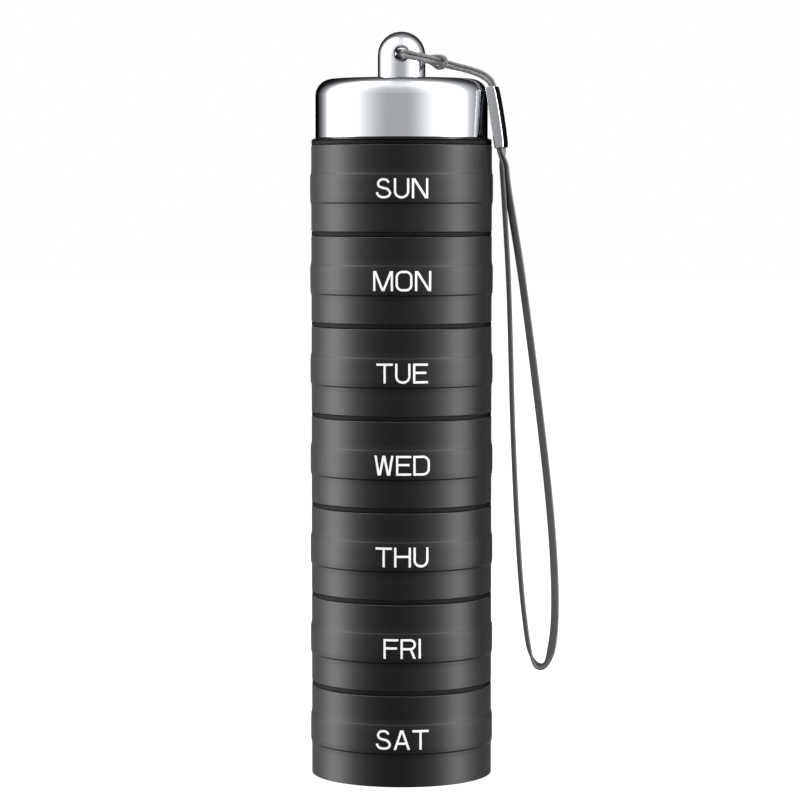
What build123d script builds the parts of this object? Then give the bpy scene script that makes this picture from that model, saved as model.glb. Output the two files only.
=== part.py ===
"""A weekly pill tube: seven screw-together cups, a bright cap with a lanyard post, and a wrist strap.

Millimetres, +Z up. The origin is the middle of the base, and the tube stands on Z = 0. The marks face -Y.
"""

import math
import os

from build123d import *

# Cups
upper_cups = ["fri", "thu", "wed", "tue", "mon", "sun"]
body_r = 15.8
wall = 1.8
cup_height = 14.92
base_extra = 0.81
floor_thick = 1.4
floor_fillet = 1.5
edge_round = 0.12
mouth_lead = 0.35
shoulder_round = 0.5

# Raised middle band of a cup: a soft swell with a crisp step in the middle of it
band_height = 5.25
band_rise = 0.2
swell_length = 0.75
step_rise = 0.11
step_length = 0.28
swell_round = 1.2

# Screw spigot under a cup
spigot_length = 4.5
spigot_wall = 1.3
spigot_lead = 0.5
thread_room = 0.65

# Flat seal rings
seal_thick = 0.85
seal_recess = 0.05
seal_grip = 0.1
seal_round = 0.15

# Cap
cap_step = 0.75
cap_height = 10.3
cap_round = 2.95
shell_wall = 0.8
shell_top = 1.0
flange_thick = 0.4
flange_edge = 0.12
collar_height = 5.0
boss_r = 4.6
seat_gap = 0.02

# Lanyard post
post_r = 4.15
post_shank = 4.1
stud_r = 2.0
stud_length = 5.0
stud_hole_gap = 0.1
tap_depth_spare = 0.6
eye_rise = 0.3
eye_r = 1.2
eye_mouth_r = 1.6
eye_mouth_depth = 0.5

# Crimp clip
clip_azimuth = -12.5
clip_lean = 9.08
clip_length = 10.68
clip_width = 4.6
clip_thick = 1.6
clip_sheet = 0.25
clip_corner = 0.32
clip_top_out = 0.87
clip_top_drop = 1.48

# Wrist strap and hitch cord
strap_width = 3.8
strap_thick = 0.5
strap_in_clip = 3.8
strap_straight = 1.4
cord_d = 0.7
cord_in_clip = 3.8
cord_straight = 0.6
cord_apart = (0.17, 0.33)
cord_splay = 0.3

# Worked out from the sizes above
mouth_r = body_r - wall
spigot_r = mouth_r - thread_room
bore_r = spigot_r - spigot_wall
base_height = cup_height + base_extra
pitch = cup_height + seal_thick
cap_bottom = base_height + len(upper_cups) * pitch + seal_thick
shell_bottom = cap_bottom + flange_thick
cap_top = shell_bottom + cap_height
post_centre = cap_top + post_shank
cap_r = body_r - cap_step
collar_r = cap_r - shell_wall


def turned(corners):
    """A solid of revolution about Z from (radius, height, corner round) points, in order round its section."""
    points = [(r, 0, z) for r, z, _ in corners]
    rounds = [corner for _, _, corner in corners]
    outline = FilletPolyline(*points, radius=rounds, close=True)
    return revolve(Face(outline.wire()), Axis.Z)


def band_side(middle):
    """The outer wall's corners round the raised band, from below it to above it."""
    low = middle - band_height / 2
    high = middle + band_height / 2
    swell = (band_rise - step_rise) / 2
    half_step = step_length / 2
    return [
        (body_r, low - half_step - swell_length, swell_round),
        (body_r + swell, low - half_step, 0),
        (body_r + swell + step_rise, low + half_step, 0),
        (body_r + band_rise, low + half_step + swell_length, swell_round),
        (body_r + band_rise, high - half_step - swell_length, swell_round),
        (body_r + swell + step_rise, high - half_step, 0),
        (body_r + swell, high + half_step, 0),
        (body_r, high + half_step + swell_length, swell_round),
    ]


def mouth_side(rim, shoulder, corner):
    """The rim and the mouth's wall, from the rim's outer edge down to what closes it."""
    return [
        (body_r, rim, edge_round),
        (mouth_r, rim, mouth_lead),
        (mouth_r, shoulder, corner),
    ]


def spigot_side():
    """The screw spigot's end and wall, from the axis out to where the outer wall starts at Z = 0."""
    return [
        (0, -spigot_length, 0),
        (spigot_r, -spigot_length, spigot_lead),
        (spigot_r, 0, 0),
    ]


def base_cup():
    """The lowest cup: flat closed base, no spigot."""
    corners = [(0, 0, 0), (body_r, 0, edge_round)]
    corners += band_side(base_extra + cup_height / 2)
    corners += mouth_side(base_height, floor_thick, floor_fillet)
    corners += [(0, floor_thick, 0)]
    return turned(corners)


def upper_cup():
    """A cup with its screw spigot below Z = 0, where its outer wall starts."""
    floor = floor_thick - spigot_length
    corners = spigot_side() + [(body_r, 0, edge_round)]
    corners += band_side(cup_height / 2)
    corners += mouth_side(cup_height, wall, shoulder_round)
    corners += [(bore_r, wall, shoulder_round), (bore_r, floor, floor_fillet), (0, floor, 0)]
    return turned(corners)


def seal_ring():
    """A flat ring under Z = 0, round the spigot of the piece that stands on it."""
    inner = spigot_r + seal_grip
    outer = body_r - seal_recess
    corners = [(inner, -seal_thick), (outer, -seal_thick), (outer, 0), (inner, 0)]
    return turned([(r, z, seal_round) for r, z in corners])


def cap_plug():
    """The cap's threaded insert: spigot, bevelled flange, collar inside the shell and a tapped middle boss."""
    floor = floor_thick - spigot_length
    collar_top = flange_thick + collar_height
    boss_top = flange_thick + cap_height - shell_top
    tap_r = stud_r + seat_gap
    tap_bottom = boss_top + shell_top - stud_length - tap_depth_spare
    corners = spigot_side() + [(body_r, 0, 0), (body_r, flange_edge, 0), (cap_r, flange_thick, 0)]
    corners += [(collar_r - seat_gap, flange_thick, 0), (collar_r - seat_gap, collar_top, edge_round)]
    corners += [(bore_r, collar_top, edge_round), (bore_r, floor, floor_fillet)]
    corners += [(boss_r, floor, shoulder_round), (boss_r, boss_top, edge_round)]
    corners += [(tap_r, boss_top, 0), (tap_r, tap_bottom, 0), (0, tap_bottom, 0)]
    return Pos(0, 0, cap_bottom) * turned(corners)


def cap_shell():
    """The bright cover: a thin-walled cup upside down, with a rounded shoulder and a hole for the post's stud."""
    hole_r = stud_r + stud_hole_gap
    inner_round = cap_round - shell_wall
    corners = [(collar_r, shell_bottom, 0), (cap_r, shell_bottom, edge_round), (cap_r, cap_top, cap_round)]
    corners += [(hole_r, cap_top, 0), (hole_r, cap_top - shell_top, 0)]
    corners += [(collar_r, cap_top - shell_top, inner_round)]
    return turned(corners)


def eye_cutter():
    """What the cord's eye takes out of the post: a hole along Y that opens into a cone at each end."""
    inner = post_r - eye_mouth_depth
    corners = [(0, -2 * post_r), (eye_mouth_r, -2 * post_r), (eye_mouth_r, -post_r), (eye_r, -inner)]
    corners += [(eye_r, inner), (eye_mouth_r, post_r), (eye_mouth_r, 2 * post_r), (0, 2 * post_r)]
    return Pos(0, 0, post_centre + eye_rise) * Rot(90, 0, 0) * turned([(r, z, 0) for r, z in corners])


def lanyard_post():
    """A round-topped post on the cap, with a cross hole at the foot of its dome and a stud below."""
    on_base = (Align.CENTER, Align.CENTER, Align.MIN)
    dome = Pos(0, 0, post_centre) * Sphere(post_r, arc_size1=0, align=on_base)
    shank = Pos(0, 0, cap_top + post_shank / 2) * Cylinder(post_r, post_shank)
    stud = Pos(0, 0, cap_top - stud_length / 2) * Cylinder(stud_r, stud_length)
    return dome + shank + stud - eye_cutter()


def clip_frame():
    """The frame at the middle of the clip's top: X outwards, Y along its width, Z up along its length."""
    out = cap_r + clip_top_out
    up = cap_top - clip_top_drop
    return Rot(0, 0, clip_azimuth) * Pos(out, 0, up) * Rot(0, -clip_lean, 0)


def crimp_clip():
    """A flat sheet-metal sleeve, folded round the ends of the strap and of the cord."""
    outside = RectangleRounded(clip_thick, clip_width, clip_corner)
    inside_corner = clip_corner - clip_sheet
    inside = RectangleRounded(clip_thick - 2 * clip_sheet, clip_width - 2 * clip_sheet, inside_corner)
    return clip_frame() * extrude(outside - inside, -clip_length)


def corner_radii(route):
    """As large an arc at each inner point as its two runs allow."""
    radii = []
    for before, here, after in zip(route, route[1:], route[2:], strict=False):
        run_in = Vector(*here) - Vector(*before)
        run_out = Vector(*after) - Vector(*here)
        half_turn = math.radians(run_in.get_angle(run_out)) / 2
        radii.append(0.45 * min(run_in.length, run_out.length) / math.tan(half_turn))
    return radii


def strap_route():
    """Points of the ribbon's middle line: (outwards, height) in the clip's upright plane, down and up again."""
    top_out = cap_r + clip_top_out
    top_z = cap_top - clip_top_drop
    lean = math.radians(clip_lean)
    half = strap_thick / 2 + seat_gap

    def in_clip(down, side):
        out = top_out + down * math.sin(lean) + side * half * math.cos(lean)
        return (out, top_z - down * math.cos(lean) + side * half * math.sin(lean))

    hanging = [
        (18.12, 102.6),
        (18.49, 96.5),
        (19.03, 88.05),
        (19.43, 76.1),
        (19.8, 62.2),
        (20.49, 47.2),
        (21.3, 34.3),
        (22.21, 25.85),
        (22.81, 21.9),
        (23.52, 19.8),
        (24.43, 18.77),
        (25.54, 18.84),
        (26.34, 20.1),
        (27.07, 23.05),
        (27.47, 27.9),
        (27.35, 36.4),
        (26.44, 48.3),
        (24.68, 63.2),
        (22.86, 77.1),
        (21.2, 89.05),
        (19.78, 97.5),
        (18.77, 103.2),
    ]
    inner_end = clip_length - strap_in_clip
    leaves = clip_length + strap_straight
    start = [in_clip(inner_end, -1), in_clip(leaves, -1)]
    end = [in_clip(leaves, 1), in_clip(inner_end, 1)]
    return start + hanging + end


def wrist_strap():
    """The flat ribbon loop, both ends in the clip."""
    route = [(out, 0, z) for out, z in strap_route()]
    radii = corner_radii(route)
    print("strap radii", [round(r, 1) for r in radii])
    path = FilletPolyline(*route, radius=radii)
    print("strap length", round(path.length, 1))
    section = Plane(path @ 0, x_dir=(0, 1, 0), z_dir=path % 0) * Rectangle(strap_width, strap_thick)
    return Rot(0, 0, clip_azimuth) * sweep(section, path=path)


def cord_route():
    """Points of the hitch cord: clip, knot, post's eye, round the knot as its bight, eye, knot, clip."""
    front = [
        (14.85, -3.0, 122.6),
        (13.1, -2.6, 123.55),
        (10.35, -1.85, 124.35),
        (7.7, -1.15, 125.12),
        (5.0, -2.35, 125.72),
        (2.6, -3.95, 126.2),
        (1.05, -4.72, 126.35),
        (0.15, -4.45, 126.5),
        (0.02, -3.4, 126.65),
    ]
    bight = [
        (-0.03, -1.4, 126.685),
        (-0.03, 1.4, 126.685),
        (0.02, 3.4, 126.65),
        (0.15, 4.45, 126.5),
        (1.05, 4.72, 126.35),
        (2.6, 3.95, 126.3),
        (4.9, 2.15, 126.2),
        (6.9, 0.55, 126.15),
        (7.85, -0.85, 126.05),
        (8.25, -2.1, 125.5),
        (8.15, -2.25, 124.3),
        (7.55, -1.3, 123.45),
        (6.6, 0.2, 123.6),
        (4.9, 2.05, 124.8),
        (2.6, 3.95, 125.5),
        (1.05, 4.72, 125.62),
        (0.15, 4.45, 125.75),
        (0.02, 3.4, 125.9),
        (-0.03, 1.4, 125.915),
        (-0.03, -1.4, 125.915),
    ]
    back = [
        (0.02, -3.4, 125.9),
        (0.15, -4.45, 125.75),
        (1.05, -4.72, 125.6),
        (2.6, -3.95, 125.45),
        (5.0, -2.35, 124.98),
        (7.7, -1.15, 124.38),
        (10.3, -2.05, 123.65),
        (12.85, -3.0, 122.85),
        (14.25, -3.45, 122.0),
    ]
    return front + bight + back


def cord_end(side):
    """One strand's points in the clip, from its inner end up: deep in the clip the strands lie further apart."""
    across, along = side * cord_apart[0], side * cord_apart[1]
    places = [
        Pos(across, along + side * cord_splay, -cord_in_clip),
        Pos(across, along + side * cord_splay / 4, -cord_in_clip / 2),
        Pos(across, along, cord_straight),
    ]
    return [tuple((clip_frame() * place).position) for place in places]


def hitch_cord():
    """The thin cord, hitched round the post's right side, both ends in the clip."""
    route = cord_end(1) + cord_route() + cord_end(-1)[::-1]
    radii = corner_radii(route)
    print("cord radii", [round(r, 2) for r in radii])
    path = FilletPolyline(*route, radius=radii)
    section = Plane(path @ 0, z_dir=path % 0) * Circle(cord_d / 2)
    cord = sweep(section, path=path)
    share = cord.volume / (path.length * math.pi * cord_d**2 / 4)
    print("cord length", round(path.length, 1), "volume against section times length", round(share, 4))
    return cord


def build():
    """Every node of the tube, where it stands."""
    nodes = {"cup_sat": base_cup()}
    seat = base_height + seal_thick
    cup = upper_cup()
    seal = seal_ring()
    for day in upper_cups:
        nodes["seal_" + day] = Pos(0, 0, seat) * seal
        nodes["cup_" + day] = Pos(0, 0, seat) * cup
        seat += pitch
    nodes["seal_cap"] = Pos(0, 0, cap_bottom) * seal
    nodes["cap_plug"] = cap_plug()
    nodes["cap_shell"] = cap_shell()
    nodes["lanyard_post"] = lanyard_post()
    nodes["crimp_clip"] = crimp_clip()
    nodes["wrist_strap"] = wrist_strap()
    nodes["hitch_cord"] = hitch_cord()
    return nodes


os.makedirs("parts", exist_ok=True)
for node, shape in build().items():
    export_step(shape, "parts/" + node + ".step")
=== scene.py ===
"""Looks of the weekly pill tube: turned cups, rubber seals, a bright cap and post, a hitched cord, a strap.

Metres, +Z up, day marks towards -Y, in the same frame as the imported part.
"""

import math

import bpy

from mathutils import Matrix, Vector


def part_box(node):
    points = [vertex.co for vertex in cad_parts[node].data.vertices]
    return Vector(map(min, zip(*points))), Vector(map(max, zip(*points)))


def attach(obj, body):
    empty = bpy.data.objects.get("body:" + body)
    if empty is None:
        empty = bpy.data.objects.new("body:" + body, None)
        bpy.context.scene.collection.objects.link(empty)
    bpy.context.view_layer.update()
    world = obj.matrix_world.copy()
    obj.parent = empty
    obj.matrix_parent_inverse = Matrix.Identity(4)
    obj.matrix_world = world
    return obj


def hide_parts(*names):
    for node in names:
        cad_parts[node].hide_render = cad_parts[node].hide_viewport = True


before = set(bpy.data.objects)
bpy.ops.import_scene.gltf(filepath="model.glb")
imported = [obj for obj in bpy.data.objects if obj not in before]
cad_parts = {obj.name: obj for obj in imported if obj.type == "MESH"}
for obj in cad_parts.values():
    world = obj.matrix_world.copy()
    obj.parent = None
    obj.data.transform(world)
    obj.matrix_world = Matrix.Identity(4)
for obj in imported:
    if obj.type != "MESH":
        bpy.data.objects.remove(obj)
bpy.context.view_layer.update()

MM = 0.001

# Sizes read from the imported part
upper_cups = ["fri", "thu", "wed", "tue", "mon", "sun"]
band_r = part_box("cup_fri")[1].x
body_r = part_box("cap_plug")[1].x
seal_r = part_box("seal_fri")[1].x
cap_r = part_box("cap_shell")[1].x
post_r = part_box("lanyard_post")[1].x
base_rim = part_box("cup_sat")[1].z
seal_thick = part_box("seal_fri")[1].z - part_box("seal_fri")[0].z
cap_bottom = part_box("seal_cap")[1].z
shell_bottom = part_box("cap_shell")[0].z
cap_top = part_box("cap_shell")[1].z
post_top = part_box("lanyard_post")[1].z

# Cups
cup_height = 14.92 * MM
base_extra = base_rim - cup_height
wall = 1.8 * MM
floor_thick = 1.4 * MM
floor_fillet = 1.5 * MM
edge_round = 0.12 * MM
# Outer rounds smaller than this get the edge mask: rubbed wear and a painted highlight along these edges.
wear_highlight_round = 0.3 * MM
mouth_lead = 0.35 * MM
shoulder_round = 0.5 * MM
band_height = 5.05 * MM
step_rise = 0.11 * MM
step_length = 0.28 * MM
swell_length = 0.75 * MM
swell_round = 1.2 * MM
spigot_length = 4.5 * MM
spigot_wall = 1.3 * MM
spigot_lead = 0.5 * MM
thread_room = 0.65 * MM
mouth_r = body_r - wall
spigot_r = mouth_r - thread_room
bore_r = spigot_r - spigot_wall

# Screw threads: two starts, right-handed
thread_lead = 4.0 * MM
thread_starts = 2
thread_height = 0.44 * MM
thread_root = 0.85 * MM
thread_crest = 0.4 * MM
thread_turns = 0.68
thread_steps = 160
thread_run_out = 0.12
thread_sink = 0.03 * MM
spigot_thread_low = -3.95 * MM

# Seals
seal_grip = 0.1 * MM
seal_round = 0.24 * MM

# Cap and post
cap_round = 2.95 * MM
shell_wall = 0.8 * MM
shell_top = 1.0 * MM
flange_edge = 0.12 * MM
collar_height = 5.0 * MM
boss_r = 4.6 * MM
seat_gap = 0.02 * MM
stud_r = 2.0 * MM
stud_length = 5.0 * MM
stud_hole_gap = 0.1 * MM
tap_depth_spare = 0.6 * MM
eye_r = 1.2 * MM
eye_mouth_r = 1.6 * MM
eye_mouth_depth = 0.5 * MM
foot_round = 0.1 * MM
post_centre = post_top - post_r
eye_height = post_centre + 0.3 * MM

# Clip
clip_azimuth = math.radians(-12.5)
clip_lean = math.radians(9.08)
clip_length = 10.68 * MM
clip_width = 4.6 * MM
clip_thick = 1.6 * MM
clip_sheet = 0.25 * MM
clip_corner = 0.28 * MM
clip_top_out = 0.99 * MM
clip_top_drop = 1.48 * MM
clip_seam = 0.1 * MM
clip_bevel = 0.06 * MM
clip_fold = math.radians(40)
clip_bulge = 0.4 * MM
clip_dome = 0.4
clip_rows = 16
dome_steps = 7

# Strap, thinner between its firm edges, leaning one way on its inner run and the other way on its outer run
strap_width = 3.8 * MM
strap_thick = 0.5 * MM
strap_edge = 0.3 * MM
strap_web = 0.8
strap_in_clip = 3.8 * MM
strap_straight = 1.4 * MM
strap_twist = 3.5 * MM
strap_turn = 9.0 * MM
inner_roll = math.radians(17.5)
outer_roll = math.radians(-25.5)

# Cord
cord_d = 0.7 * MM
cord_in_clip = 3.8 * MM
cord_straight = 0.7 * MM
cord_apart = ((0.17 * MM, 0.33 * MM), (0.32 * MM, 0.25 * MM))
cord_shift = 0.12 * MM
cord_splay = 0.3 * MM
cord_plies = 3
cord_lay_length = 3.4 * MM
ply_share = 0.8
ply_sides = 12

# Day marks
mark_height = 3.4 * MM
mark_stroke = 0.385 * MM
mark_gap = 0.445 * MM
mark_widen = 0.11
mark_shift = 0.1 * MM
mark_proud = 0.02 * MM
mark_layer = 0.001 * MM
mark_layers = 4
mark_sink = 0.03 * MM
mark_piece = 0.2 * MM
mark_mitre = 0.35
bar_widen = 1.04

# Smoothness
tiny = 1e-9
corner_steps = 6
cord_steps = 8
strap_steps = 16
around = 192
post_around = 128
eye_around = 64
arc_step = math.radians(9)
crease = math.radians(35)

# Camera, its tilt in degrees
camera_lens = 143.1
camera_place = (-0.000275, -0.5573, 0.1028)
camera_tilt = 3.8

# Studio, painted by direction in degrees, 0 in front. Each edge goes from its dark to its bright end
left_edge = (-152.0, -74.5)
right_edge = (150.0, 50.0)
valley_left = (-92.5, -13.5)
valley_right = (65.5, 4.0)
fill_foot = (-4.0, 0.8)
fill_head = (42.0, 10.0)
fill_level = 0.37
box_foot = (-33.0, -7.0)
box_head = (88.0, 58.0)
box_level = 1.64
box_cores = ((-94.5, 12.0, 9.6), (76.6, 8.4, 12.5))
back_edge = (135.0, 165.0)
back_head = (-11.0, -18.0)
back_foot = (-62.0, -30.0)
back_level = 0.3
top_height = 66
top_spread = 30.0
top_level = 1.1
floor_half = 3.0
floor_grey = 0.2
floor_glow = 0.86


def placed(name, data):
    """An object with its data, linked to the scene."""
    obj = bpy.data.objects.new(name, data)
    bpy.context.scene.collection.objects.link(obj)
    return obj


def tidy_mesh(name, points, faces):
    """A mesh object at the origin with its faces smooth."""
    mesh = bpy.data.meshes.new(name)
    mesh.from_pydata([tuple(p) for p in points], [], faces)
    mesh.shade_smooth()
    mesh.validate()
    return placed(name, mesh)


def made_mesh(obj):
    """The mesh that an object's modifiers or curve settings make."""
    bpy.context.view_layer.update()
    return bpy.data.meshes.new_from_object(obj.evaluated_get(bpy.context.evaluated_depsgraph_get()))


def baked(obj):
    """Replaces an object's mesh by what its modifiers make of it."""
    mesh = made_mesh(obj)
    obj.modifiers.clear()
    obj.data = mesh
    return obj


def ring_faces(count, rings, first):
    """The side faces that join rings of the same count of points."""
    faces = []
    for low in range(first, first + (rings - 1) * count, count):
        for k in range(count):
            after = (k + 1) % count
            faces.append((low + k, low + after, low + count + after, low + count + k))
    return faces


def swept_mesh(name, strips):
    """A mesh object of strips, each of rings joined in order and closed at both ends."""
    points, faces = [], []
    for rings in strips:
        count = len(rings[0])
        first = len(points)
        points += [spot for ring in rings for spot in ring]
        faces += ring_faces(count, len(rings), first)
        faces.append(tuple(first + k for k in reversed(range(count))))
        faces.append(tuple(len(points) - count + k for k in range(count)))
    return tidy_mesh(name, points, faces)


def section_sides(corners, closed):
    """The sides of a turned section: (start, start normal, end, end normal, edge) with rounds as arcs, where
    edge marks small outer rounds for rubbed wear and a painted highlight.

    Corners are (radius, height, round), with the solid on their left as they go round.
    """
    count = len(corners)
    points = [Vector((r, z)) for r, z, _ in corners]
    rounds = []
    for i, here in enumerate(points):
        size = corners[i][2] if closed or 0 < i < count - 1 else 0
        come = (here - points[i - 1]).normalized()
        go = (points[(i + 1) % count] - here).normalized()
        turn = math.atan2(come.x * go.y - come.y * go.x, come.dot(go))
        back = size * math.tan(abs(turn) / 2)
        rounds.append((here - come * back, here + go * back, come, turn, size))
    sides = []
    for i in range(count if closed else count - 1):
        start = rounds[i][1]
        end, _, come, turn, size = rounds[(i + 1) % count]
        if (end - start).length > tiny:
            along = (end - start).normalized()
            normal = Vector((along.y, -along.x))
            sides.append((start, normal, end, normal, 0.0))
        if not size:
            continue
        steps = max(2, math.ceil(abs(turn) / arc_step))
        first = Vector((come.y, -come.x))
        reach = math.copysign(size, turn)
        centre = end - first * reach
        # The edge value marks small outer rounds: rubbed wear and a painted highlight along these edges.
        worn = float(turn > 0 and size < wear_highlight_round)
        before, before_normal = end, first
        for k in range(1, steps + 1):
            normal = Matrix.Rotation(turn * k / steps, 2) @ first
            point = centre + normal * reach
            sides.append((before, before_normal, point, normal, worn if k < steps else 0.0))
            before, before_normal = point, normal
    return sides


def turned(name, corners, closed=False, base=0.0, count=around):
    """A solid of revolution about Z with exact normals, its section moved up by base."""
    sides = section_sides(corners, closed)
    section = [(sides[0][0], sides[0][4])] + [(side[2], side[4]) for side in sides]
    if closed:
        section.pop()
    points, rows, worn = [], [], []
    for (r, z), edge in section:
        rows.append((len(points), r < tiny))
        for k in range(1 if r < tiny else count):
            angle = 2 * math.pi * k / count
            points.append((r * math.cos(angle), r * math.sin(angle), z + base))
            worn.append(edge)
    faces, normals = [], []
    for i, (_, start_normal, _, end_normal, _) in enumerate(sides):
        for k in range(count):
            loop = [(i, k, start_normal), (i, k + 1, start_normal)]
            loop += [(i + 1, k + 1, end_normal), (i + 1, k, end_normal)]
            face = []
            for row, place, normal in loop:
                first, single = rows[row % len(rows)]
                vertex = first if single else first + place % count
                if vertex in face:
                    continue
                angle = 2 * math.pi * place / count
                face.append(vertex)
                normals.append((normal.x * math.cos(angle), normal.x * math.sin(angle), normal.y))
            faces.append(face)
    obj = tidy_mesh(name, points, faces)
    obj.data.normals_split_custom_set(normals)
    # The edge attribute marks small outer rounds, for rubbed wear and a painted highlight.
    wear_highlight_mask = obj.data.attributes.new("edge", "FLOAT", "POINT")
    wear_highlight_mask.data.foreach_set("value", worn)
    return obj


def band_side(middle):
    """The outer wall's corners round the raised band."""
    swell = (band_r - body_r - step_rise) / 2
    inner_end = (band_height - step_length) / 2
    outer_end = (band_height + step_length) / 2
    half = [(band_r, inner_end - swell_length, swell_round), (body_r + swell + step_rise, inner_end, 0)]
    half += [(body_r + swell, outer_end, 0), (body_r, outer_end + swell_length, swell_round)]
    lower = [(r, middle - z, size) for r, z, size in reversed(half)]
    return lower + [(r, middle + z, size) for r, z, size in half]


def mouth_side(rim, shoulder, corner):
    """The rim and the mouth's wall."""
    return [(body_r, rim, edge_round), (mouth_r, rim, mouth_lead), (mouth_r, shoulder, corner)]


def spigot_side():
    """The screw spigot's end and wall."""
    return [(0, -spigot_length, 0), (spigot_r, -spigot_length, spigot_lead), (spigot_r, 0, 0)]


def base_cup_section():
    """The lowest cup."""
    corners = [(0, 0, 0), (body_r, 0, edge_round)]
    corners += band_side(base_extra + cup_height / 2)
    corners += mouth_side(base_rim, floor_thick, floor_fillet)
    return corners + [(0, floor_thick, 0)]


def upper_cup_section():
    """A cup with its spigot below 0."""
    floor = floor_thick - spigot_length
    corners = spigot_side() + [(body_r, 0, edge_round)]
    corners += band_side(cup_height / 2)
    corners += mouth_side(cup_height, wall, shoulder_round)
    return corners + [(bore_r, wall, shoulder_round), (bore_r, floor, floor_fillet), (0, floor, 0)]


def seal_section():
    """A flat ring under 0."""
    inner = spigot_r + seal_grip
    corners = [(inner, -seal_thick), (seal_r, -seal_thick), (seal_r, 0), (inner, 0)]
    return [(r, z, seal_round) for r, z in corners]


def plug_section():
    """The cap's threaded insert, above and below its flange."""
    flange = shell_bottom - cap_bottom
    floor = floor_thick - spigot_length
    collar_r = cap_r - shell_wall - seat_gap
    collar_top = flange + collar_height
    boss_top = cap_top - shell_top - cap_bottom
    tap_r = stud_r + seat_gap
    tap_bottom = boss_top + shell_top - stud_length - tap_depth_spare
    corners = spigot_side() + [(body_r, 0, 0), (body_r, flange_edge, 0)]
    corners += [(cap_r, flange, 0), (collar_r, flange, 0)]
    corners += [(collar_r, collar_top, edge_round), (bore_r, collar_top, edge_round)]
    corners += [(bore_r, floor, floor_fillet), (boss_r, floor, shoulder_round)]
    corners += [(boss_r, boss_top, edge_round), (tap_r, boss_top, 0)]
    return corners + [(tap_r, tap_bottom, 0), (0, tap_bottom, 0)]


def shell_section():
    """The bright cover."""
    collar_r = cap_r - shell_wall
    hole_r = stud_r + stud_hole_gap
    return [
        (collar_r, shell_bottom, 0),
        (cap_r, shell_bottom, edge_round),
        (cap_r, cap_top, cap_round),
        (hole_r, cap_top, 0),
        (hole_r, cap_top - shell_top, 0),
        (collar_r, cap_top - shell_top, cap_round - shell_wall),
    ]


def post_normal(place, middle, in_eye):
    """The post's exact outward direction at a place of a face, on its eye's walls or on its outer walls."""
    if in_eye:
        away = Vector((place.x, 0, place.z - eye_height))
        flare = (eye_mouth_r - eye_r) / eye_mouth_depth if abs(middle.y) > post_r - eye_mouth_depth else 0.0
        return (-away.normalized() + Vector((0, math.copysign(flare, middle.y), 0))).normalized()
    if place.z > post_centre:
        return (place - Vector((0, 0, post_centre))).normalized()
    return Vector((place.x, place.y, 0)).normalized()


def lanyard_post():
    """The round-topped post with its eye and its stud."""
    on_wall = 0.97
    stud_end = cap_top - stud_length
    corners = [(0, stud_end, 0), (stud_r, stud_end, edge_round), (stud_r, cap_top, 0)]
    corners += [(post_r, cap_top, foot_round), (post_r, post_top, post_r), (0, post_top, 0)]
    post = turned("bright_post", corners, count=post_around)
    inner = post_r - eye_mouth_depth
    eye = [(0, -2 * post_r), (eye_mouth_r, -2 * post_r), (eye_mouth_r, -post_r), (eye_r, -inner)]
    eye += [(eye_r, inner), (eye_mouth_r, post_r), (eye_mouth_r, 2 * post_r), (0, 2 * post_r)]
    cutter = turned("eye_cutter", [(r, z, 0) for r, z in eye], count=eye_around)
    cutter.data.transform(Matrix.Translation((0, 0, eye_height)) @ Matrix.Rotation(math.pi / 2, 4, "X"))
    cut = post.modifiers.new("eye", "BOOLEAN")
    cut.operation = "DIFFERENCE"
    cut.solver = "EXACT"
    cut.object = cutter
    baked(post)
    bpy.data.objects.remove(cutter)
    normals = []
    for face in post.data.polygons:
        middle = face.center
        shaped = middle.z > cap_top + foot_round
        in_eye = shaped and face.normal.dot(post_normal(middle, middle, False)) < on_wall
        for index in face.vertices:
            place = post.data.vertices[index].co
            normals.append(post_normal(place, middle, in_eye) if shaped else face.normal)
    post.data.normals_split_custom_set(normals)
    return post


def clip_place():
    """The frame at the middle of the clip's top: X outwards, Y along its width, Z up along its length."""
    out = cap_r + clip_top_out
    top = cap_top - clip_top_drop
    turn = Matrix.Rotation(clip_azimuth, 4, "Z")
    return turn @ Matrix.Translation((out, 0, top)) @ Matrix.Rotation(-clip_lean, 4, "Y")


def rounded_loop(half_x, half_y, size, swell):
    """A rounded rectangle's points, anticlockwise from the middle of its -X side, with a domed +X side."""
    points = [Vector((-half_x, 0))]
    flat = half_y - size
    for sign_x, sign_y, start in ((-1, -1, 180), (1, -1, 270), (1, 1, 0), (-1, 1, 90)):
        moved = (1 - clip_dome) * swell if sign_x > 0 else 0.0
        centre = Vector((sign_x * (half_x - size) + moved, sign_y * flat))
        for k in range(corner_steps + 1):
            angle = math.radians(start + 90 * k / corner_steps)
            points.append(centre + size * Vector((math.cos(angle), math.sin(angle))))
        if start == 270:
            for k in range(1 - dome_steps, dome_steps):
                up = k / dome_steps
                points.append(Vector((half_x + swell * (1 - clip_dome * up**2), flat * up)))
    return points


def folded_clip():
    """The clip: one strip of sheet folded into a flat sleeve, its edges meeting on the side by the cap."""
    half_seam = Vector((0, clip_seam / 2))
    sizes = (clip_thick / 2, clip_width / 2, clip_corner)
    points = []
    for row in range(clip_rows + 1):
        share = row / clip_rows
        swell = clip_bulge * math.sqrt(4 * share * (1 - share))
        outer = rounded_loop(*sizes, swell)
        inner = rounded_loop(*(size - clip_sheet for size in sizes), swell)
        loop = [outer[0] - half_seam] + outer[1:] + [outer[0] + half_seam]
        loop += [inner[0] + half_seam] + inner[:0:-1] + [inner[0] - half_seam]
        points += [(x, y, -clip_length * (1 - share)) for x, y in loop]
    count = len(loop)
    faces = ring_faces(count, clip_rows + 1, 0)
    for i in range(count // 2 - 1):
        low = (i, count - 1 - i, count - 2 - i, i + 1)
        faces += [low, tuple(clip_rows * count + k for k in reversed(low))]
    clip = tidy_mesh("folded_clip", points, faces)
    bevel = clip.modifiers.new("edges", "BEVEL")
    bevel.limit_method = "ANGLE"
    bevel.angle_limit = clip_fold
    bevel.width = clip_bevel
    bevel.segments = 3
    bevel.harden_normals = True
    baked(clip)
    clip.data.transform(clip_place())
    return clip


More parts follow.
